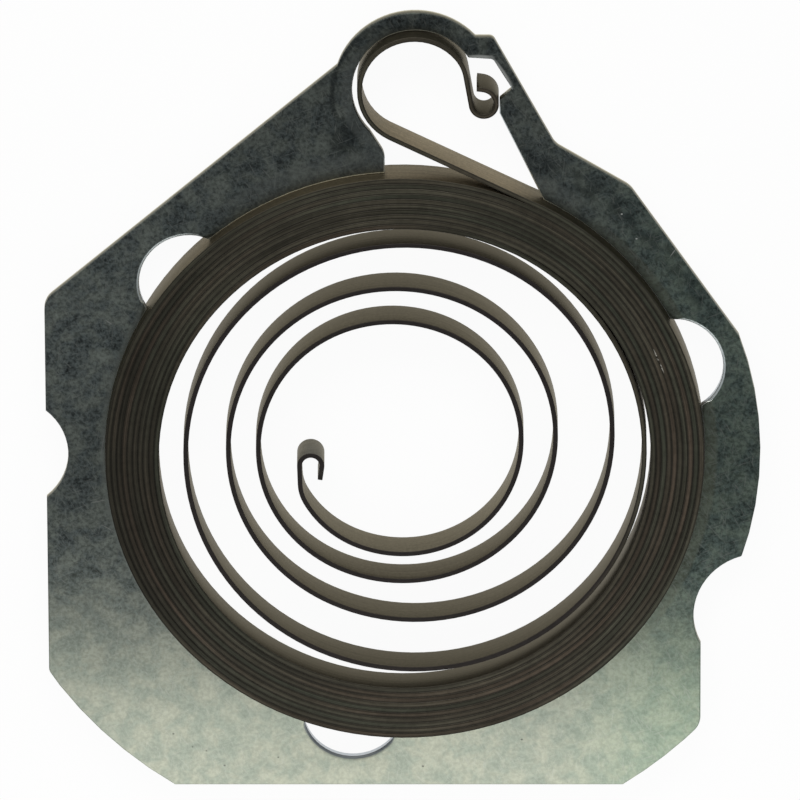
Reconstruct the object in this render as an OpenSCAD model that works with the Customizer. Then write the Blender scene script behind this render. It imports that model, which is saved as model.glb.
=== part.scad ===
// Spiral power spring held in a flat keeper plate, in millimetres.
// The origin is on the coil's axis, at the back edges of the strip.
// +Z is the front and +Y points to the loop at the spring's outer end.

/* [Strip] */
// Thickness of the spring strip
strip_thickness = 0.55; // [0.4:0.05:0.7]
// Width of the spring strip
strip_width = 5; // [4.4:0.2:7]
// Gap between one tight turn and the next
turn_gap = 0.065; // [0.05:0.005:0.15]

/* [Coil] */
// Outside radius of the coil where the tail leaves it
coil_radius = 34.66; // [30:0.5:40]
// Number of tight turns
tight_turns = 10; // [5:1:12]
// Where the tail leaves the coil, counted from +X
leave_angle = 65.4; // [60:0.2:70]

/* [Inner hook] */
// Bend radius of the lead-in to the hook that takes the hub
hub_lead_radius = 4.8; // [3:0.1:8]
// Straight run up to that hook
hub_run = 2.2; // [1:0.1:4]
// Bend radius of that hook
hub_hook_radius = 1.3; // [1:0.1:2]
// Straight end of that hook
hub_hook_end = 1.5; // [1:0.1:4]

/* [Tail and outer hook] */
// Length of the run from the coil to the loop
tail_run = 17.8; // [16:0.2:20]
// How far that run bows towards the loop's side, in degrees
tail_bow = 3; // [1:0.5:6]
// Bend radius of the loop
loop_radius = 6.3; // [5.5:0.05:7]
// How far the strip turns round the loop
loop_turn = 203; // [198:1:210]
// Bend radius where the loop turns down
drop_radius = 4.8; // [3:0.1:6]
// Straight run down to the outer hook
drop_run = 3.7; // [2.5:0.1:5]
// Bend radius of the outer hook
hook_radius = 1.45; // [1.2:0.05:2]
// Bend radius of the curl at the strip's end
curl_radius = 1.8; // [1.4:0.05:2.2]
// Straight end of the curl
curl_end = 0.7; // [0.4:0.1:1.4]

/* [Plate] */
// Thickness of the sheet
sheet = 1.2; // [0.8:0.1:2]
// Strip width left behind the plate
stand_off = 1.6; // [1:0.1:2]
// Clearance round the coil
coil_clearance = 0.06; // [0.05:0.01:0.4]
// Clearance between the loop or its hook and the plate
loop_clearance = 0.08; // [0.06:0.01:0.4]
// How far the middle of the plate's outline lies off the coil's axis, towards +X
plate_shift = 0.35; // [0:0.05:0.4]
// Left edge, outside the opening
left_margin = 6.5; // [5:0.1:9]
// Bottom edge, outside the opening
bottom_margin = 6.25; // [5:0.05:9]
// Round right edge, outside the opening
right_margin = 6; // [5:0.1:9]
// Round lower left corner, outside the opening
left_corner_margin = 13.5; // [11:0.1:15]
// Round lower right corner, outside the opening
right_corner_margin = 13.95; // [11:0.05:15]
// Width of the arch over the loop
arch_width = 2.15; // [1.5:0.05:3]
// Height of the left edge's upper corner above the opening's axis
left_corner_height = 18.45; // [16:0.05:21]

/* [Round cut-outs] */
// Radius of the three round cut-outs in the opening's edge
bay_radius = 5.8; // [4:0.1:7]
// How far their centres lie inside the opening's edge
bay_inset = 2.4; // [1.5:0.1:3.5]
// Radius of the left edge's notch
left_notch_radius = 6.9; // [6:0.1:8]
// How far that notch's centre lies outside the left edge
left_notch_out = 4.6; // [3.6:0.1:5.4]
// Radius of the right edge's notch
right_notch_radius = 7.6; // [6:0.1:8.5]
// How far that notch's centre lies outside the opening
right_notch_out = 10.7; // [10:0.1:11.5]

/* [Hidden] */
$fn = 180;
// Degrees between the points of a sampled bend
arc_step = 5;
// Arcs that meet end to end share their end faces, so their sizes are whole thousandths
function snap(v, s = 0.001) = round(v / s) * s;

// Spring: the coil is drawn with the leave direction along +X
t = strip_thickness;
pitch = snap(t + turn_gap, 0.004);
half = pitch / 2;
end_radius = snap(coil_radius - t / 2 - pitch / 4);
tight_inner = end_radius - tight_turns * pitch;
// Bend radius of each loose quarter turn from the tight turns inwards, as a share of the tight
// turns' inner radius. The slack turns lie a little off centre, as they do in a relaxed spring.
loose_share = [0.974, 0.939, 0.936, 0.896, 0.814, 0.808, 0.734, 0.68, 0.639, 0.625, 0.568, 0.548, 0.513, 0.483];
last_share = 0.432;
loose = [for (s = loose_share) snap(s * tight_inner)];
quarters = len(loose);
function toward(q) = [[1, 0], [0, -1], [-1, 0], [0, 1]][q % 4];
function loose_centre(q) =
  q == 0 ? [pitch / 4 + tight_inner - loose[0], 0]
  : loose_centre(q - 1) + (loose[q - 1] - loose[q]) * toward(q);

// A strip is walked along straight runs [length, 0] and bends [radius, turn], left turns positive
function moved(pose, s, f) =
  s[1] == 0
  ? [pose.x + f * s[0] * cos(pose[2]), pose.y + f * s[0] * sin(pose[2]), pose[2]]
  : let (h = pose[2], g = h + f * s[1], r = sign(s[1]) * s[0])
    [pose.x + r * (sin(g) - sin(h)), pose.y - r * (cos(g) - cos(h)), g];
function pose_after(runs, n, pose) =
  n == 0 ? pose : moved(pose_after(runs, n - 1, pose), runs[n - 1], 1);
function poses(runs, pose) = [
  pose,
  for (i = [0:len(runs) - 1])
    let (p = pose_after(runs, i, pose), s = runs[i])
      let (n = s[1] == 0 ? 1 : ceil(abs(s[1]) / min(arc_step, 200 / s[0])))
        for (f = [1:n]) moved(p, s, f / n)
];
function beside(ps, d) = [for (p = ps) [p.x - d * sin(p[2]), p.y + d * cos(p[2])]];
function reversed(v) = [for (i = [len(v) - 1:-1:0]) v[i]];

tail_start = [pitch / 4 + end_radius, 0, 90];
// The drop points 10 degrees off straight down, wherever the tail leaves
drop_turn = leave_angle + 170 - tail_bow - loop_turn;
tail = [
  [tail_run / tail_bow * 180 / PI, -tail_bow], [loop_radius, -loop_turn], [drop_radius, -drop_turn],
  [drop_run, 0], [hook_radius, 169], [curl_radius, 83], [curl_end, 0]
];
hub_hook_start = loose_centre(quarters - 1) + loose[quarters - 1] * toward(quarters);
hub_hook = [
  [last_share * tight_inner, -36.4], [hub_lead_radius, -27], [hub_run, 0],
  [hub_hook_radius, -190], [hub_hook_end, 0]
];

// Plate: points that follow the spring are turned into the plate's frame
function in_plate(p) = [
  p.x * cos(leave_angle) - p.y * sin(leave_angle) - plate_shift,
  p.x * sin(leave_angle) + p.y * cos(leave_angle)
];
opening_radius = coil_radius + coil_clearance;
function bend_centre(pose, r) = in_plate([pose.x - r * sin(pose[2]), pose.y + r * cos(pose[2])]);
loop_centre = bend_centre(pose_after(tail, 1, tail_start), -loop_radius);
hook_centre = bend_centre(pose_after(tail, 4, tail_start), hook_radius);
loop_room = 0.95;
arch_inner = loop_radius + loop_room;
arch_outer = arch_inner + arch_width;
arch_centre = loop_centre + [0.1, -(loop_room - t / 2 - loop_clearance)];
tooth = [hook_centre.x + hook_radius + t / 2 + loop_clearance, hook_centre.y - 0.1];
left_edge = -opening_radius - left_margin;
bottom_edge = -opening_radius - bottom_margin;
right_edge = opening_radius - 0.8;
right_radius = opening_radius + right_margin;
left_corner_radius = opening_radius + left_corner_margin;
right_corner_radius = opening_radius + right_corner_margin;
corner_centre = [-1.3, 0];
front = stand_off + sheet;
// Where the round cut-outs lie, counted from +X
bay_angles = [18.7, 140.5, 259];
right_notch_angle = -26.4;

function polar(r, a) = r * [cos(a), sin(a)];
right_notch_centre = polar(opening_radius + right_notch_out, right_notch_angle);
function arc(c, r, a0, a1) =
  let (n = max(2, ceil(abs(a1 - a0) / arc_step)))
    [for (i = [0:n]) c + polar(r, a0 + (a1 - a0) * i / n)];
// The corner at q between p and s, rounded to radius r
function fillet(p, q, s, r) =
  let (u = (p - q) / norm(p - q), v = (s - q) / norm(s - q), h = acos(u * v) / 2)
  let (c = q + (u + v) / norm(u + v) * r / sin(h), a = q + u * r / tan(h) - c, b = q + v * r / tan(h) - c)
  let (a0 = atan2(a.y, a.x), a1 = atan2(b.y, b.x))
    arc(c, r, a0, a0 + (a1 - a0 + 540) % 360 - 180);

// Where the corner circles cross the straight edges
function leg(hypotenuse, other) = sqrt(hypotenuse ^ 2 - other ^ 2);
corner_left = [left_edge, -leg(left_corner_radius, left_edge - corner_centre.x)];
corner_low_left = [corner_centre.x - leg(left_corner_radius, bottom_edge), bottom_edge];
corner_low_right = [corner_centre.x + leg(right_corner_radius, bottom_edge), bottom_edge];
corner_right = [right_edge, -leg(right_corner_radius, right_edge - corner_centre.x)];
function corner_angle(p) = atan2(p.y - corner_centre.y, p.x - corner_centre.x);

// Directions at which the arch and the round right edge begin and end
arch_from = 43;
arch_to = 162;
flank_from = -34;
flank_to = 20.4;
arch_left = arch_centre + polar(arch_outer, arch_to);
arch_right = arch_centre + polar(arch_outer, arch_from);
ear = arch_centre + [8.9, arch_right.y - arch_centre.y];
waist = polar(right_radius + 0.4, 65.5);
shoulder = polar(right_radius + 0.5, 51.5);
flank = polar(right_radius, flank_to);
// The left edge slants a little outwards to its top
left_slant = 0.4;
left_top = [left_edge - left_slant, left_corner_height];

outline = concat(
  arc([0, 0], right_radius, flank_from, flank_to),
  fillet(flank, shoulder, waist, 3),
  fillet(shoulder, waist, ear, 2.5),
  fillet(waist, ear, arch_right, 0.8),
  arc(arch_centre, arch_outer, arch_from, arch_to),
  fillet(arch_left, left_top, corner_left, 2.5),
  fillet(left_top, corner_left, corner_left + [1.2, -1.4], 1.2),
  arc(corner_centre, left_corner_radius, corner_angle(corner_left) + 2.5, corner_angle(corner_low_left)),
  arc(corner_centre, right_corner_radius, corner_angle(corner_low_right), corner_angle(corner_right) - 3),
  fillet(corner_right + [-2, -2], corner_right, [right_edge, 0], 2.5),
  [[right_edge, right_notch_centre.y]]
);

// Way for the tail: from the opening past the tab, round the loop and hook, and back
tab_end = [loop_centre.x - 3.4, opening_radius + 1.6];
tab_root = [tab_end.x, opening_radius - 2];
tab_neck = arch_centre + polar(arch_inner - 0.05, 222);
pocket_left = arch_centre + [5, 4];
pocket_top = hook_centre + [1.05, 4.75];
pocket_right = hook_centre + [3.25, 1.15];
passage = concat(
  [tab_root],
  fillet(tab_root, tab_end, tab_neck, 2.6),
  [tab_neck, arch_centre, pocket_left],
  fillet(pocket_left, pocket_top, pocket_right, 0.6),
  fillet(pocket_top, pocket_right, tooth, 0.3),
  fillet(pocket_right, tooth, tooth + [0, -1.7], 0.3),
  [tooth + [0, -1.7], polar(opening_radius - 0.4, leave_angle - 3)]
);

module through(centre, r) {
  translate([centre.x, centre.y, 0])
    cylinder(h = strip_width, r = r);
}

module half_disc(centre, r, from) {
  translate([centre.x, centre.y, 0])
    rotate([0, 0, from])
      rotate_extrude(angle = 180)
        square([r, strip_width]);
}

module opening() {
  // Follows the outer turn, a clearance away from both of its half circles
  reach = end_radius + t / 2 + coil_clearance;
  translate([-plate_shift, 0, 0])
    rotate([0, 0, leave_angle]) {
      half_disc([pitch / 4, 0], reach, 180);
      half_disc([-pitch / 4, 0], reach - half, 0);
    }
}

module keeper_plate() {
  color([0.52, 0.55, 0.56])
    translate([plate_shift, 0, 0])
      difference() {
        translate([0, 0, stand_off])
          linear_extrude(sheet)
            polygon(outline);
        opening();
        for (a = bay_angles)
          through(polar(opening_radius - bay_inset, a), bay_radius);
        through(arch_centre, arch_inner);
        through([left_edge - left_notch_out, -0.4], left_notch_radius);
        through(right_notch_centre, right_notch_radius);
        linear_extrude(strip_width)
          polygon(passage);
      }
}

module bend(centre, r, from, turn) {
  translate([centre.x, centre.y, 0])
    rotate([0, 0, from])
      rotate_extrude(angle = turn)
        translate([r - t / 2, 0])
          square([t, strip_width]);
}

module strip(runs, start) {
  ps = poses(runs, start);
  // The root lies inside the arc that the strip leaves, so the two stay one strip
  root = [start, moved(start, [t, 0], -1)];
  linear_extrude(strip_width)
    polygon(concat(
      beside(ps, t / 2), reversed(beside(ps, -t / 2)),
      beside(root, -t / 4), reversed(beside(root, t / 4))
    ));
}

module power_spring() {
  color([0.3, 0.27, 0.24])
    rotate([0, 0, leave_angle]) {
      // Tight turns: half circles about two centres, each pitch / 2 smaller than the last
      for (k = [0:2 * tight_turns - 1])
        bend([k % 2 == 0 ? pitch / 4 : -pitch / 4, 0], end_radius - k * half, k % 2 == 0 ? 180 : 0, 180);
      // Loose turns: quarter circles, each starting where the last one ends
      for (q = [0:quarters - 1])
        bend(loose_centre(q), loose[q], -90 * (q + 1), 90);
      strip(tail, tail_start);
      strip(hub_hook, [hub_hook_start.x, hub_hook_start.y, 90]);
    }
}

keeper_plate();
power_spring();
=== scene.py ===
"""Spiral power spring in its keeper plate: the dressed pieces, their finishes, light and camera."""

import math

import bmesh
import bpy
from mathutils import Matrix, Vector


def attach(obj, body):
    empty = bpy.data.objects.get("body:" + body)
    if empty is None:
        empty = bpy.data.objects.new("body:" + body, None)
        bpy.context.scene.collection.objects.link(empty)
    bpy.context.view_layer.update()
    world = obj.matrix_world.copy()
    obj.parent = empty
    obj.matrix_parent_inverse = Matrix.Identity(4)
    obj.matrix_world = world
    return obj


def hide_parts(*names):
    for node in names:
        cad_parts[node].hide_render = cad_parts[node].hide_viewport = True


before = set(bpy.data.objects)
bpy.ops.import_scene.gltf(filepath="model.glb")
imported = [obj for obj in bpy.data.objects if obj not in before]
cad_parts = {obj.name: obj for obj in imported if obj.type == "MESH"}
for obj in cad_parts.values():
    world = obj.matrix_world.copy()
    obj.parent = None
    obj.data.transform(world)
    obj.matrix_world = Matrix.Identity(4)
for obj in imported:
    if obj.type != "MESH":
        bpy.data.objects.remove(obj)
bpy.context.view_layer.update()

# Sizes are in millimetres, as in the solids, and MM takes them to metres
MM = 0.001

# Spring strip; the tight turns are drawn thick enough to touch, as wound turns do
STRIP_THICKNESS = 0.55
TIGHT_THICKNESS = 0.617
STRIP_WIDTH = 5.0
STRIP_EDGE_RADIUS = 0.09
STRIP_EDGE_STEPS = 4
# Degrees between two sections in wide and in small bends
WIDE_BEND = 8.0
WIDE_BEND_STEP = 3
SMALL_BEND_STEP = 7

# The strip's walk: a run is (length, 0) where straight, and (radius, turn in degrees) in a bend
TURN_PITCH = 0.616
COIL_END_RADIUS = 34.231
TIGHT_TURNS = 10
TIGHT_INNER = COIL_END_RADIUS - TIGHT_TURNS * TURN_PITCH
LOOSE_SHARES = (
    0.974, 0.939, 0.936, 0.896, 0.814, 0.808, 0.734,
    0.68, 0.639, 0.625, 0.568, 0.548, 0.513, 0.483,
)
LAST_SHARE = 0.432
LEAVE_ANGLE = 65.4
TAIL_LENGTH = 17.8
TAIL_BOW = 3.0
LOOP_TURN = 203.0
DROP_HEADING = -80.0
DROP_TURN = LEAVE_ANGLE + 90 - DROP_HEADING - TAIL_BOW - LOOP_TURN
# From the coil outwards: tail, loop, drop, and the curl at the end
TAIL_RUNS = (
    (TAIL_LENGTH / math.radians(TAIL_BOW), -TAIL_BOW),
    (6.3, -LOOP_TURN),
    (4.8, -DROP_TURN),
    (3.7, 0),
    (1.45, 169),
    (1.8, 83),
    (0.7, 0),
)
# From the last slack turn inwards: the lead and the hook at the hub
HUB_RUNS = (
    (LAST_SHARE * TIGHT_INNER, -36.4),
    (4.8, -27),
    (2.2, 0),
    (1.3, -190),
    (1.5, 0),
)

# Keeper plate; its own middle lies beside the coil's axis
PLATE_SHIFT = 0.35
PLATE_FRONT = 2.8
OPENING_RADIUS = 34.72
COIL_PRESS = 0.03
RING_CUT = 0.5
LOOP_HOLE = (0.5, 43.5)
LOOP_HOLE_RADIUS = 7.25
# The punched bays' front edges are rolled over: how wide, and how deep as a share of that
BAY_ROLL = 0.55
BAY_ROLL_STEPS = 4
ROLL_DEPTH_SHARE = 0.4
BAY_TOP = 30.0
PLATE_EDGE_ROUND = 0.12
PLATE_EDGE_STEPS = 2
# Angles in degrees: faces under FLAT join, edges over SHARP are rounded, under SMOOTH shade soft
FLAT_ANGLE = 0.4
SHARP_ANGLE = 50.0
SMOOTH_ANGLE = 18.0
# How close points lie that are one, that are on the front, and that are on the opening's edge;
# a bay's edge lies at least BAY_START outside the opening
MERGE_DISTANCE = 0.002
FRONT_NEAR = 0.01
OPENING_NEAR = 0.03
BAY_START = 0.3

# Colours of the plate's finish; a pair is blended from the first to the second
# The stained and the clean plating are also painted shade and painted reflection: darker towards
# the loop, paler towards the straight edge
STAINED_SHADED_PLATING = (0.108, 0.125, 0.122, 1), (0.125, 0.138, 0.122, 1)
CLEAN_LIT_PLATING = (0.425, 0.47, 0.39, 1), (0.48, 0.495, 0.4, 1)
GREEN_CAST = (0.86, 0.97, 0.9, 1)
# Dark blotches, and painted shade in the crease beside the loop hole
BLOTCH_AND_CREASE_SHADE = (0.02, 0.024, 0.024, 1)
# Painted highlight on the sheet along the coil's top and round the loop hole
LIP_HIGHLIGHT = (0.19, 0.2, 0.185, 1)
# Painted reflection of the coil on the sheet beside it: grey on the left, brownish on the right
LEFT_COIL_REFLECTION = (0.25, 0.27, 0.245, 1)
RIGHT_COIL_REFLECTION = (0.18, 0.165, 0.125, 1)
SCRATCH = (0.24, 0.25, 0.23, 1), (0.55, 0.57, 0.5, 1)
CUT_WALL = (0.62, 0.58, 0.42, 1), (0.1, 0.092, 0.05, 1)
PUNCHED_WALL = (0.62, 0.66, 0.69, 1)
# Rolled lips: painted shade at the bottom bay, painted highlight at the upper bays
BAY_LIP_SHADE_AND_HIGHLIGHT = (0.26, 0.28, 0.29, 1), (0.84, 0.9, 0.9, 1)
# Marks on the plate: place, turn, half length, half width, share and shade; some are painted
# highlights along edges
PLATE_MARKS_AND_HIGHLIGHTS = (
    # The next four are painted highlights: light lines along the left bay's and the opening's edges
    ((-34.2, 15.8), -35, 0.7, 0.09, 0.8, 0.34),
    ((-34.9, 1.2), 80, 2.6, 0.07, 0.5, 0.3),
    ((-35.4, -6.1), 12, 1.3, 0.08, 0.6, 0.32),
    ((-34.4, -9.4), -30, 1.0, 0.08, 0.6, 0.34),
    ((24.7, 29.0), 0, 0.16, 0.14, 0.9, 0.7),
    ((26.4, 26.0), 0, 0.16, 0.12, 0.9, 0.7),
    ((30.6, 24.3), 55, 0.8, 0.07, 0.8, 0.5),
    ((13.3, -35.4), 0, 0.2, 0.16, 0.8, 0.1),
    ((1.9, -38.7), 0, 0.18, 0.15, 0.8, 0.1),
    ((-26.9, -34.7), 0, 0.17, 0.15, 0.7, 0.12),
    ((-24.7, -36.3), 0, 0.14, 0.13, 0.7, 0.12),
    ((-23.1, -36.8), 0, 0.16, 0.12, 0.7, 0.12),
    ((-21.0, -38.6), 0, 0.18, 0.14, 0.7, 0.12),
    ((-14.8, -37.6), 0, 0.15, 0.14, 0.7, 0.12),
    # Painted highlights along the pocket's top and right edges
    ((8.2, 48.1), 0, 2.3, 0.38, 0.85, 0.6),
    ((10.95, 46.3), -57, 2.8, 0.38, 0.85, 0.6),
)

# Colours of the strip's finish; the casts multiply what lies under them
ROLLED_FACE = (0.077, 0.069, 0.051, 1)
HOOK_CAST = (0.92, 1.04, 1.3, 1)
# Lightening of the tail and of the outer face under the tab: painted reflection
REFLECTION_CAST = (3.3, 3.05, 2.85, 1)
BURNT_CURL = (0.022, 0.021, 0.017, 1)
RIM = (0.024, 0.026, 0.019, 1), (0.03, 0.023, 0.017, 1)
SLACK_RIM = (0.018, 0.015, 0.016, 1)
# Painted highlight on the rounded corners of each turn
CORNER_HIGHLIGHT = (0.078, 0.071, 0.058, 1)
SCRAPE = (0.6, 0.58, 0.52, 1)
STRIP_SHEEN = (0.9, 0.84, 0.7, 1)

# Studio: each lamp's name, place, size, aim, power and colour
LAMPS = (
    ("front_box", (0, -105, 65), (160, 110), (0, -105, 0), 0.053, (1, 1, 0.97)),
    ("back_box", (-60, 380, 230), (520, 180), (0, 0, 0), 1.6, (1, 0.97, 0.9)),
)
SKY = (0.96, 1.0, 1.03, 1)
SKY_STRENGTH = 0.35
FLOOR_SIZE = 3000
PAPER = (0.9, 0.9, 0.9, 1)
WHITE = (1, 1, 1, 1)
# Share of plain white in the floor, as it is seen and as the metal mirrors it
WHITE_SEEN = 0.95
WHITE_MIRRORED = 0.75

# Picture: the camera looks down on the part from the loop's side
PICTURE_WIDTH = 92.0
PICTURE_CENTRE = (-0.4, 6.3, 2.8)
CAMERA_TILT = 20.0
CAMERA_LENS = 1500.0
SENSOR = 36.0


def turned(point, degrees):
    a = math.radians(degrees)
    return Vector((
        point[0] * math.cos(a) - point[1] * math.sin(a),
        point[0] * math.sin(a) + point[1] * math.cos(a),
        0,
    ))


def bend_centre(place, heading, run):
    size, turn = run
    return place + math.copysign(size, turn) * turned((0, 1), heading)


def run_end(place, heading, run):
    """Where a run ends, and the heading there."""
    size, turn = run
    if turn == 0:
        return place + size * turned((1, 0), heading), heading
    outwards = math.copysign(size, turn) * turned((0, 1), heading + turn)
    return bend_centre(place, heading, run) - outwards, heading + turn


def run_length(run):
    size, turn = run
    return size if turn == 0 else size * math.radians(abs(turn))


def strip_start():
    """The strip's outer end, with its heading turned round to run inwards."""
    place, heading = Vector((TURN_PITCH / 4 + COIL_END_RADIUS, 0, 0)), 90.0
    for run in TAIL_RUNS:
        place, heading = run_end(place, heading, run)
    return place, heading + 180


def strip_runs():
    """All runs of the strip from its outer end inwards."""
    runs = [(size, -turn) for size, turn in reversed(TAIL_RUNS)]
    runs += [(COIL_END_RADIUS - k * TURN_PITCH / 2, -180) for k in range(2 * TIGHT_TURNS)]
    runs += [(round(share * TIGHT_INNER, 3), -90) for share in LOOSE_SHARES]
    return runs + list(HUB_RUNS)


def strip_section():
    """Round-edged section of the strip as (across, up) points, from the back edge round."""
    half = STRIP_THICKNESS / 2 - STRIP_EDGE_RADIUS
    low, high = STRIP_EDGE_RADIUS, STRIP_WIDTH - STRIP_EDGE_RADIUS
    corners = ((half, low, -90), (half, high, 0), (-half, high, 90), (-half, low, 180))
    points = []
    for across, up, first in corners:
        for i in range(STRIP_EDGE_STEPS + 1):
            a = math.radians(first + 90 * i / STRIP_EDGE_STEPS)
            points.append((
                across + STRIP_EDGE_RADIUS * math.cos(a),
                up + STRIP_EDGE_RADIUS * math.sin(a),
            ))
    return points


def finished(name, bm, material):
    """Puts a bmesh made in millimetres into the scene as a piece."""
    bmesh.ops.scale(bm, vec=(MM, MM, MM), verts=bm.verts)
    mesh = bpy.data.meshes.new(name)
    bm.to_mesh(mesh)
    bm.free()
    mesh.materials.append(material)
    piece = bpy.data.objects.new(name, mesh)
    bpy.context.scene.collection.objects.link(piece)
    return piece


def drawn_straight(bm, edges, step):
    """The section's edges after a straight run."""
    drawn = bmesh.ops.extrude_edge_only(bm, edges=edges)["geom"]
    moved = [g for g in drawn if isinstance(g, bmesh.types.BMVert)]
    bmesh.ops.translate(bm, vec=step, verts=moved)
    drawn = [g for g in drawn if isinstance(g, bmesh.types.BMEdge)]
    return [e for e in drawn if e.verts[0] in moved and e.verts[1] in moved]


def spun_round(bm, edges, centre, turn, steps):
    """The section's edges after a bend."""
    drawn = bmesh.ops.spin(
        bm, geom=edges, cent=centre, axis=(0, 0, 1), angle=math.radians(turn), steps=steps
    )["geom_last"]
    return [g for g in drawn if isinstance(g, bmesh.types.BMEdge)]


def wound_strip(material):
    """The strip's section, spun round every bend and drawn out along every straight run."""
    bm = bmesh.new()
    along = bm.verts.layers.float.new("along")
    round_section = bm.verts.layers.int.new("round")
    place, heading = strip_start()
    section = strip_section()
    left = turned((0, 1), heading)
    ring = [bm.verts.new(place + across * left + Vector((0, 0, up))) for across, up in section]
    for i, vert in enumerate(ring):
        vert[round_section] = i
    edges = [bm.edges.new((ring[i - 1], ring[i])) for i in range(len(ring))]
    bmesh.ops.edgeloop_fill(bm, edges=edges)
    walked = 0.0
    tight = []
    for run in strip_runs():
        size, turn = run
        end, end_heading = run_end(place, heading, run)
        step = WIDE_BEND_STEP if size > WIDE_BEND else SMALL_BEND_STEP
        steps = max(1, math.ceil(abs(turn) / step))
        made = len(bm.verts)
        if turn == 0:
            edges = drawn_straight(bm, edges, end - place)
        else:
            edges = spun_round(bm, edges, bend_centre(place, heading, run), turn, steps)
        bm.verts.ensure_lookup_table()
        for i in range(made, len(bm.verts)):
            bm.verts[i][along] = walked + run_length(run) * (1 + (i - made) // len(section)) / steps
        if size >= TIGHT_INNER and abs(turn) == 180:
            tight += bm.verts[made:]
        walked += run_length(run)
        place, heading = end, end_heading
    bmesh.ops.edgeloop_fill(bm, edges=edges)
    bmesh.ops.recalc_face_normals(bm, faces=bm.faces)
    mark_strip(bm, along, round_section, section)
    for vert in tight:
        vert.co.xy += vert.normal.xy * (TIGHT_THICKNESS - STRIP_THICKNESS) / 2
    for face in bm.faces:
        face.smooth = len(face.verts) == 4
    bmesh.ops.rotate(bm, matrix=Matrix.Rotation(math.radians(LEAVE_ANGLE), 3, "Z"), verts=bm.verts)
    return finished("power_spring_strip", bm, material)


def mark_strip(bm, along, round_section, section):
    """UV map of the strip in millimetres: the length walked, and the way round its section."""
    count = len(section)
    way = [0.0]
    for i in range(count):
        way.append(way[-1] + math.dist(section[i], section[(i + 1) % count]))
    marks = bm.loops.layers.uv.new("strip")
    for face in bm.faces:
        wraps = {v[round_section] for v in face.verts} >= {0, count - 1} and len(face.verts) == 4
        for loop in face.loops:
            i = loop.vert[round_section]
            loop[marks].uv = (loop.vert[along], way[count if wraps and i == 0 else i])


def sharp_edges(bm):
    inner = [e for e in bm.edges if len(e.link_faces) == 2]
    return [e for e in inner if e.calc_face_angle() > math.radians(SHARP_ANGLE)]


def bay_front_edges(bm):
    """Front edges of the bays, which lie outside the opening and look inwards."""
    edges = []
    for edge in sharp_edges(bm):
        a, b = (v.co for v in edge.verts)
        middle = (a + b) / 2 - Vector((PLATE_SHIFT, 0, 0))
        wall = min((f.normal for f in edge.link_faces), key=lambda n: abs(n.z))
        outside = middle.xy.length > OPENING_RADIUS + BAY_START and middle.y < BAY_TOP
        if outside and min(a.z, b.z) > PLATE_FRONT - FRONT_NEAR and wall.dot(middle) < 0:
            edges.append(edge)
    return edges


def round_edges(bm, edges, width, steps):
    bmesh.ops.bevel(
        bm, geom=edges, offset=width, offset_type="OFFSET", affect="EDGES",
        segments=steps, profile=0.5, material=-1, clamp_overlap=False,
    )


def stamped_plate(material):
    """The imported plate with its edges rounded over, as a punch leaves them."""
    bm = bmesh.new()
    bm.from_mesh(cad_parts["keeper_plate"].data)
    bmesh.ops.scale(bm, vec=(1 / MM, 1 / MM, 1 / MM), verts=bm.verts)
    bmesh.ops.remove_doubles(bm, verts=bm.verts, dist=MERGE_DISTANCE)
    # One cut across the ring keeps each half of its flat faces free of holes
    everything = [*bm.verts, *bm.edges, *bm.faces]
    cut = bmesh.ops.bisect_plane(bm, geom=everything, plane_co=(RING_CUT, 0, 0), plane_no=(1, 0, 0))
    for edge in cut["geom_cut"]:
        if isinstance(edge, bmesh.types.BMEdge):
            edge.seam = True
    bmesh.ops.dissolve_limit(
        bm, angle_limit=math.radians(FLAT_ANGLE), verts=bm.verts, edges=bm.edges,
        use_dissolve_boundaries=False, delimit={"SEAM"},
    )
    # The coil presses against the opening's edge
    for vert in bm.verts:
        if vert.co.xy.length < OPENING_RADIUS + OPENING_NEAR:
            vert.co.xy *= 1 - COIL_PRESS / OPENING_RADIUS
    round_edges(bm, bay_front_edges(bm), BAY_ROLL, BAY_ROLL_STEPS)
    for vert in bm.verts:
        if vert.co.z > PLATE_FRONT - BAY_ROLL - FRONT_NEAR:
            vert.co.z = PLATE_FRONT - ROLL_DEPTH_SHARE * (PLATE_FRONT - vert.co.z)
    round_edges(bm, sharp_edges(bm), PLATE_EDGE_ROUND, PLATE_EDGE_STEPS)
    bmesh.ops.triangulate(bm, faces=bm.faces)
    for face in bm.faces:
        face.smooth = True
    for edge in bm.edges:
        soft = len(edge.link_faces) == 2 and edge.calc_face_angle() < math.radians(SMOOTH_ANGLE)
        edge.smooth = soft
    return finished("keeper_plate_sheet", bm, material)


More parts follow.
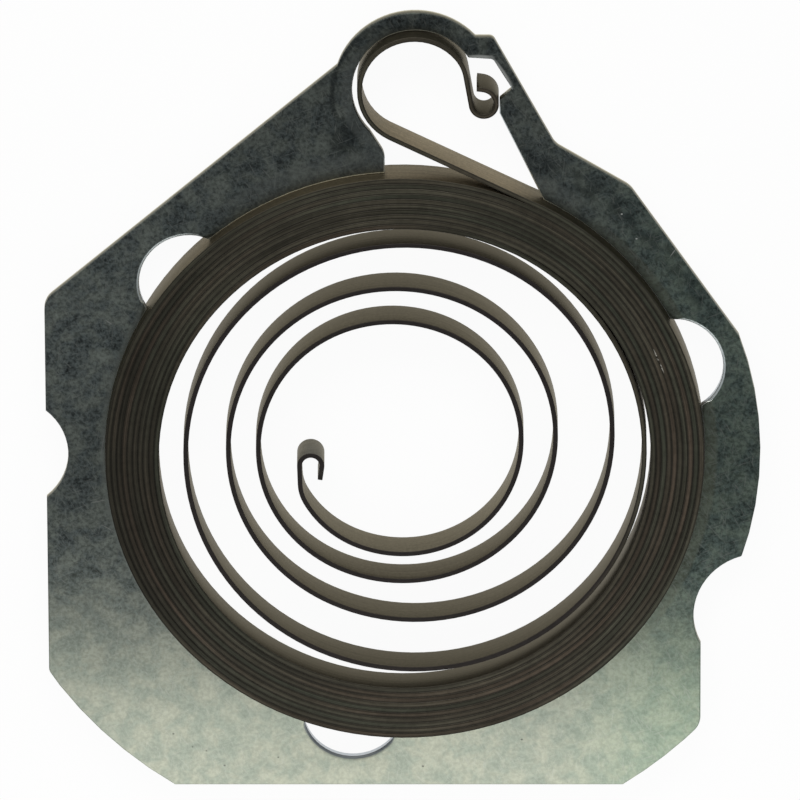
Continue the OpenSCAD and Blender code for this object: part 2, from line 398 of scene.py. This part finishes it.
class Wiring:
    """Adds nodes to one tree; any input takes a plain value or another node's output."""

    def __init__(self, tree):
        self.tree = tree

    def put(self, socket, value):
        if isinstance(value, bpy.types.NodeSocket):
            self.tree.links.new(value, socket)
        else:
            socket.default_value = value

    def node(self, kind, values=None, **settings):
        made = self.tree.nodes.new(kind)
        for name, value in settings.items():
            setattr(made, name, value)
        for key, value in (values or {}).items():
            self.put(made.inputs[key], value)
        return made

    def group(self, tree, values):
        return self.node("ShaderNodeGroup", node_tree=tree, values=values).outputs

    def math(self, operation, a, b=0.0):
        return self.node("ShaderNodeMath", {0: a, 1: b}, operation=operation).outputs[0]

    def times(self, first, *others):
        """All values multiplied: of masks, what lies in every one."""
        for other in others:
            first = self.math("MULTIPLY", first, other)
        return first

    def off(self, value, middle):
        return self.math("ABSOLUTE", self.math("SUBTRACT", value, middle))

    def ramp(self, value, start, end, low=0.0, high=1.0, curve="SMOOTHSTEP"):
        values = {0: value, 1: start, 2: end, 3: low, 4: high}
        return self.node("ShaderNodeMapRange", values, interpolation_type=curve).outputs[0]

    def swing(self, noise, low, high):
        """A noise's middle range stretched straight from low to high."""
        return self.ramp(noise, 0.3, 0.7, low, high, "LINEAR")

    def blend(self, factor, a, b, how="MIX"):
        made = self.node("ShaderNodeMix", {0: factor, 6: a, 7: b}, data_type="RGBA", blend_type=how)
        return made.outputs[2]

    def tinted(self, colour, by):
        return self.blend(1.0, colour, by, "MULTIPLY")

    def noise(self, vector, scale, detail=4.0, rough=0.6, distortion=0.0):
        values = {
            "Vector": vector, "Scale": scale, "Detail": detail, "Roughness": rough,
            "Distortion": distortion,
        }
        return self.node("ShaderNodeTexNoise", values).outputs[0]

    def vector(self, operation, a, b):
        return self.node("ShaderNodeVectorMath", {0: a, 1: b}, operation=operation).outputs

    def distance(self, vector, point):
        return self.vector("DISTANCE", vector, point)[1]

    def parts(self, vector):
        return self.node("ShaderNodeSeparateXYZ", {0: vector}).outputs

    def local(self, vector, point, turn, size):
        """The vector as seen from a point, turned, and counted in steps of the given size."""
        values = {0: vector, 1: (*point, 0), 2: (0, 0, math.radians(turn)), 3: size}
        return self.node("ShaderNodeMapping", values, vector_type="TEXTURE").outputs[0]

    def mark(self, vector, point, turn, length, width):
        """Soft oval patch, 1 in the middle: half its length along turn, half its width across."""
        reach = self.distance(self.local(vector, point, turn, (length, width, 1)), (0, 0, 0))
        return self.ramp(reach, 1.0, 0.35)


FLOAT, VECTOR = "NodeSocketFloat", "NodeSocketVector"


def effect(name, inputs, outputs):
    """An empty shader node group, and the wiring, inputs and outputs to fill it."""
    tree = bpy.data.node_groups.new(name, "ShaderNodeTree")
    for label, kind in inputs:
        tree.interface.new_socket(label, in_out="INPUT", socket_type=kind)
    for label, kind in outputs:
        tree.interface.new_socket(label, in_out="OUTPUT", socket_type=kind)
    given = tree.nodes.new("NodeGroupInput").outputs
    out = tree.nodes.new("NodeGroupOutput").inputs
    return tree, Wiring(tree), given, out


def mottle_effect():
    """Patchy tone of bare or stained metal: coarse clouds broken up by finer specks."""
    tree, w, given, out = effect(
        "mottle",
        [("Place", VECTOR), ("Grain", FLOAT), ("Depth", FLOAT)],
        [("Tone", FLOAT), ("Cloud", FLOAT)],
    )
    cloud = w.noise(given["Place"], w.times(given["Grain"], 0.22), 3.0, 0.55, 0.4)
    speck = w.ramp(w.noise(given["Place"], given["Grain"], 5.0, 0.68, 0.3), 0.34, 0.66)
    both = w.math("ADD", w.times(cloud, 0.9), w.times(speck, 0.42))
    depth = w.times(w.math("SUBTRACT", both, 0.66), given["Depth"])
    w.put(out["Tone"], w.math("ADD", depth, 1.0))
    w.put(out["Cloud"], cloud)
    return tree


def hairline_effect():
    """Fine straight scratches in four directions, the crests of stretched noises."""
    tree, w, given, out = effect(
        "hairlines", [("Place", VECTOR), ("Share", FLOAT)], [("Lines", FLOAT)]
    )
    lines = 0.0
    for turn, shift in ((21, 3.1), (-48, 17.7), (83, 41.3), (118, 29.9)):
        stretched = w.local(given["Place"], (shift, -shift), turn, (2.4, 0.17, 1.0))
        start = w.math("SUBTRACT", 1.0, given["Share"])
        crest = w.ramp(w.noise(stretched, 1.0, 2.0, 0.6), start, w.math("ADD", start, 0.08))
        lines = w.math("MAXIMUM", lines, crest)
    w.put(out["Lines"], lines)
    return tree


def empty_finish(name):
    made = bpy.data.materials.new(name)
    made.use_nodes = True
    made.node_tree.nodes.clear()
    return made, Wiring(made.node_tree)


class Spot:
    """Where a point of a piece lies, in millimetres, and how its surface faces."""

    def __init__(self, w, shift):
        where = w.node("ShaderNodeTexCoord").outputs
        place = w.vector("MULTIPLY", where["Object"], (1 / MM, 1 / MM, 1 / MM))[0]
        self.place = w.vector("SUBTRACT", place, (shift, 0, 0))[0]
        self.across, self.along, self.up = w.parts(self.place)
        self.level = w.vector("MULTIPLY", self.place, (1, 1, 0))[0]
        self.from_axis = w.distance(self.level, (0, 0, 0))
        self.normal = where["Normal"]
        self.upright = w.math("ABSOLUTE", w.parts(self.normal)[2])


def metal(name, shift):
    made, w = empty_finish(name)
    shader = w.node("ShaderNodeBsdfPrincipled")
    w.node("ShaderNodeOutputMaterial", {"Surface": shader.outputs[0]})
    return made, w, shader.inputs, Spot(w, shift)


def stained_sheet(w, spot, tone, cloud):
    """Dark, blotched plating, with painted shade in a crease by the loop hole, a dark patch between
    the loop and the coil, and painted highlight and reflection on the sheet along the coil and
    round the loop hole.
    """
    from_loop = w.distance(spot.level, (*LOOP_HOLE, 0))
    colour = w.tinted(w.blend(w.ramp(cloud, 0.36, 0.64), *STAINED_SHADED_PLATING), tone)
    # Painted shade: darker towards the loop's end of the plate
    colour = w.tinted(colour, w.ramp(spot.along, 14.0, 52.0, 1.15, 0.72))
    # Darker in a band across the middle
    colour = w.tinted(colour, w.ramp(w.off(spot.along, -2.0), 14.0, 2.0, 1.0, 0.8))

    ring = w.times(
        w.ramp(w.off(spot.from_axis, 38.4), 1.9, 0.2),
        w.ramp(spot.across, 6.0, 14.0),
        w.ramp(spot.along, 12.0, 20.0),
        w.ramp(w.noise(spot.place, 0.55, 4.0, 0.7), 0.42, 0.6),
    )
    # Painted shade of a crease beside the loop hole's left edge
    crease_shade = w.times(
        w.ramp(w.off(from_loop, LOOP_HOLE_RADIUS + 1.8), 0.45, 0.1),
        w.ramp(spot.across, -3.0, -6.0),
        w.ramp(spot.along, 39.0, 42.0),
    )
    # A dark patch between the loop and the coil, broken up by the clouds
    dark_patch = w.mark(spot.level, (-7.0, 38.3), 60, 3.4, 2.4)
    dark_patch = w.times(dark_patch, w.ramp(cloud, 0.2, 0.5, 0.6, 1.0))
    dark = w.math("MAXIMUM", w.math("MAXIMUM", ring, crease_shade), dark_patch)
    colour = w.blend(w.times(dark, 0.62), colour, BLOTCH_AND_CREASE_SHADE)

    # Painted highlight: a light band along the coil's top and round the loop hole, where a rolled
    # lip would catch the light
    over_coil = w.times(w.ramp(spot.from_axis, 37.4, 36.6), w.ramp(spot.along, 26.0, 33.0))
    round_loop = w.ramp(from_loop, LOOP_HOLE_RADIUS + 1.1, LOOP_HOLE_RADIUS + 0.5)
    colour = w.blend(w.times(w.math("MAXIMUM", over_coil, round_loop), 0.3), colour, LIP_HIGHLIGHT)
    # Painted reflection of the coil on the sheet beside it, grey on the left and brownish on the
    # right
    left = w.times(w.ramp(spot.from_axis, 35.5, 34.9), w.ramp(spot.across, -22.0, -28.0), 0.5)
    colour = w.blend(left, colour, LEFT_COIL_REFLECTION)
    right = w.times(w.ramp(spot.from_axis, 36.0, 35.5), w.ramp(spot.across, 20.0, 26.0), 0.4)
    return w.blend(right, colour, RIGHT_COIL_REFLECTION)


def plate_finish(mottle, hairlines):
    """Dull plated sheet: stained dark towards the loop, clean pale grey at the straight edge; both
    halves are partly painted shade and painted reflection.
    """
    made, w, skin, spot = metal("plate_finish", PLATE_SHIFT)
    tone, cloud = w.group(mottle, {"Place": spot.place, "Grain": 2.2, "Depth": 2.0})
    lines = w.group(hairlines, {"Place": spot.place, "Share": 0.38})[0]

    drift = w.times(w.math("SUBTRACT", w.noise(spot.place, 0.07, 2.0, 0.5), 0.5), 10.0)
    height = w.math("ADD", spot.along, drift)
    height = w.math("ADD", height, w.ramp(spot.across, 10.0, 36.0, 0.0, 0.6))
    # Pale towards the straight edge: clean plating, and also a painted reflection of a bright lamp
    clean_and_lit = w.ramp(height, -11.5, -36.0)
    pale = w.blend(w.ramp(cloud, 0.35, 0.65), *CLEAN_LIT_PLATING)
    pale = w.tinted(pale, w.ramp(tone, 0.2, 1.8, 0.84, 1.16, "LINEAR"))
    colour = w.blend(clean_and_lit, stained_sheet(w, spot, tone, cloud), pale)
    colour = w.blend(w.ramp(spot.across, 14.0, 34.0), colour, w.tinted(colour, GREEN_CAST))
    colour = w.blend(w.times(lines, 0.4), colour, w.blend(clean_and_lit, *SCRATCH))
    # Marks, and the painted highlights along edges, laid over the sheet
    for point, turn, length, width, share, shade in PLATE_MARKS_AND_HIGHLIGHTS:
        patch = w.times(w.mark(spot.level, point, turn, length, width), share)
        colour = w.blend(patch, colour, (shade, shade, 0.94 * shade, 1))

    # The sheet's edges: cut walls outside, punched walls and rolled lips inside; the lips carry
    # painted shade at the bottom bay and a painted highlight at the upper bays
    outward = w.vector("DOT_PRODUCT", spot.normal, spot.level)[1]
    cut = w.blend(w.ramp(spot.up, 1.7, 2.35), *CUT_WALL)
    wall = w.blend(w.ramp(outward, -5.0, 5.0), PUNCHED_WALL, cut)
    lit_lip = w.blend(w.ramp(spot.along, -25.0, -5.0), *BAY_LIP_SHADE_AND_HIGHLIGHT)
    rolled = w.blend(w.ramp(outward, -2.0, 2.0), lit_lip, colour)
    side = w.blend(w.ramp(spot.upright, 0.25, 0.45), wall, rolled)
    w.put(skin["Base Color"], w.blend(w.ramp(spot.upright, 0.95, 0.985), side, colour))
    w.put(skin["Metallic"], 1.0)
    w.put(skin["Roughness"], w.ramp(tone, 0.2, 1.8, 0.44, 0.34, "LINEAR"))
    grain = w.math("ADD", w.times(tone, 0.3), w.times(lines, -0.4))
    bump = w.node("ShaderNodeBump", {"Strength": 0.25, "Distance": 0.02 * MM, "Height": grain})
    w.put(skin["Normal"], bump.outputs[0])
    return made


def strip_face(w, spot, marks):
    """Rolled face of the strip: streaked lengthways, lightened at the tail by painted reflection,
    burnt at the curl.
    """
    walked = w.parts(marks)[0]
    whole = sum(run_length(run) for run in strip_runs())
    streak = w.noise(w.local(marks, (0, 0), 0, (22, 0.25, 0)), 1.0, 4.0, 0.65)
    colour = w.tinted(ROLLED_FACE, w.swing(streak, 0.65, 1.4))
    colour = w.tinted(colour, w.swing(w.noise(spot.place, 3.2, 3.0, 0.7), 0.72, 1.28))
    # Painted reflection: faces lighter towards the hub, where wider gaps between the turns mirror
    # more of the white floor
    colour = w.tinted(colour, w.ramp(spot.from_axis, 27.5, 15.0, 0.68, 1.24))
    hook = w.ramp(walked, whole - 9.0, whole - 6.0)
    colour = w.blend(hook, colour, w.tinted(colour, HOOK_CAST))
    # Painted reflection: the tail over the open floor and the outer turn's face under the tab are
    # lightened
    tail = w.times(w.ramp(walked, 26.0, 40.0), w.ramp(walked, 58.0, 50.0))
    under_tab = w.times(w.ramp(walked, 215.0, 235.0), w.ramp(walked, 282.0, 264.0), 0.6)
    reflected_light = w.math("MAXIMUM", tail, under_tab)
    colour = w.blend(reflected_light, colour, w.tinted(colour, REFLECTION_CAST))
    return w.blend(w.ramp(walked, 16.0, 8.0, 0.0, 0.6), colour, BURNT_CURL)


def strip_finish(mottle):
    """Tempered spring strip: taupe rolled faces, and dark sheared edges that differ by the turn."""
    made, w, skin, spot = metal("strip_finish", 0)
    marks = w.node("ShaderNodeUVMap", uv_map="strip").outputs[0]
    tone = w.group(mottle, {"Place": spot.place, "Grain": 1.2, "Depth": 0.6})[0]
    turn_tone = w.noise(w.local(marks, (0, 0), 0, (60, 0, 0)), 1.0, 3.0, 0.7)
    turn_hue = w.noise(w.local(marks, (700, 0), 0, (75, 0, 0)), 1.0, 2.0, 0.6)
    shear = w.noise(w.local(marks, (0, 0), 0, (14, 0.1, 0)), 1.0, 3.0, 0.6)
    edge = w.ramp(spot.upright, 0.2, 0.4)
    slack = w.ramp(spot.from_axis, TIGHT_INNER - 0.4, TIGHT_INNER - 1.2)
    # Darker towards the left
    left_darkening = w.ramp(spot.across, -22.0, -29.0, 1.0, 0.6)

    # Way round the section to the middle of its front edge, where a painted highlight makes each
    # turn lightest
    rim_middle = STRIP_WIDTH - STRIP_EDGE_RADIUS * (3 - math.pi) + STRIP_THICKNESS / 2
    from_middle = w.off(w.parts(marks)[1], rim_middle)
    rim = w.blend(w.ramp(turn_hue, 0.35, 0.65), *RIM)
    rim = w.tinted(rim, w.swing(turn_tone, 0.35, 1.65))
    rim = w.tinted(rim, w.swing(shear, 0.45, 1.6))
    rim = w.tinted(rim, w.ramp(from_middle, 0.25, 0.08, 0.5, 1.75))
    rim = w.tinted(rim, left_darkening)
    rim = w.tinted(w.blend(slack, rim, SLACK_RIM), tone)
    # Painted highlight on each turn's rounded corners, weaker on the slack turns and on the left
    corner = w.times(
        w.ramp(spot.upright, 0.3, 0.5),
        w.ramp(spot.upright, 0.95, 0.8),
        w.ramp(slack, 0.0, 1.0, 1.0, 0.2),
        w.ramp(left_darkening, 0.6, 1.0, 0.25, 0.55),
    )
    corner_highlight = w.tinted(w.tinted(CORNER_HIGHLIGHT, w.swing(turn_tone, 0.4, 1.6)), tone)
    rim = w.blend(corner, rim, corner_highlight)
    scrape = w.times(
        w.mark(spot.level, (29.3, 11.9), -67, 1.9, 0.12),
        edge,
        w.ramp(w.noise(spot.place, 2.4, 2.0, 0.5), 0.42, 0.58),
    )
    rim = w.blend(scrape, rim, SCRAPE)

    w.put(skin["Base Color"], w.blend(edge, strip_face(w, spot, marks), rim))
    w.put(skin["Metallic"], w.math("MAXIMUM", w.ramp(edge, 0.0, 1.0, 0.85, 0.1, "LINEAR"), corner))
    w.put(skin["Roughness"], w.ramp(edge, 0.0, 1.0, 0.4, 0.5, "LINEAR"))
    w.put(skin["Specular IOR Level"], 0.27)
    w.put(skin["Specular Tint"], STRIP_SHEEN)
    return made


def floor_finish():
    """White sweep that stays white to the camera and in the metal, and still takes a shadow."""
    made, w = empty_finish("sweep_paper")
    paper = w.node("ShaderNodeBsdfDiffuse", {"Color": PAPER})
    white = w.node("ShaderNodeEmission", {"Color": WHITE, "Strength": 1.0})
    ray = w.node("ShaderNodeLightPath").outputs
    seen = w.times(w.math("MAXIMUM", ray["Is Camera Ray"], ray["Is Transmission Ray"]), WHITE_SEEN)
    share = w.math("MAXIMUM", seen, w.times(ray["Is Glossy Ray"], WHITE_MIRRORED))
    mixed = w.node("ShaderNodeMixShader", {0: share, 1: paper.outputs[0], 2: white.outputs[0]})
    w.node("ShaderNodeOutputMaterial", {"Surface": mixed.outputs[0]})
    return made


def soft_lamp(name, place, size, aim, power, colour):
    """Area lamp at place, turned to aim, all in millimetres."""
    lamp = bpy.data.lights.new(name, "AREA")
    lamp.shape = "RECTANGLE"
    lamp.size, lamp.size_y = size[0] * MM, size[1] * MM
    lamp.energy = power
    lamp.color = colour
    made = bpy.data.objects.new(name, lamp)
    made.location = Vector(place) * MM
    made.rotation_euler = (Vector(aim) - Vector(place)).to_track_quat("-Z", "Y").to_euler()
    made.visible_camera = False
    bpy.context.scene.collection.objects.link(made)


def studio():
    world = bpy.data.worlds.new("studio")
    world.use_nodes = True
    back = world.node_tree.nodes["Background"].inputs
    back["Color"].default_value = SKY
    back["Strength"].default_value = SKY_STRENGTH
    bpy.context.scene.world = world
    for lamp in LAMPS:
        soft_lamp(*lamp)
    bm = bmesh.new()
    bmesh.ops.create_grid(bm, x_segments=1, y_segments=1, size=FLOOR_SIZE)
    floor = finished("sweep", bm, floor_finish())


def picture():
    tilt = math.radians(CAMERA_TILT)
    back = Vector((0, math.sin(tilt), math.cos(tilt)))
    up = Vector((0, math.cos(tilt), -math.sin(tilt)))
    data = bpy.data.cameras.new("picture")
    data.lens, data.sensor_width = CAMERA_LENS, SENSOR
    data.clip_start, data.clip_end = 0.01, 20
    camera = bpy.data.objects.new("picture", data)
    turn = Matrix((up.cross(back), up, back)).transposed().to_4x4()
    distance = PICTURE_WIDTH * CAMERA_LENS / SENSOR
    camera.matrix_world = Matrix.Translation((Vector(PICTURE_CENTRE) + distance * back) * MM) @ turn
    bpy.context.scene.collection.objects.link(camera)
    bpy.context.scene.camera = camera
    bpy.context.scene.view_settings.view_transform = "Standard"


mottle, hairlines = mottle_effect(), hairline_effect()
picture()
studio()

strip = wound_strip(strip_finish(mottle))
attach(strip, "root")
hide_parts("power_spring")

plate = stamped_plate(plate_finish(mottle, hairlines))
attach(plate, "root")
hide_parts("keeper_plate")
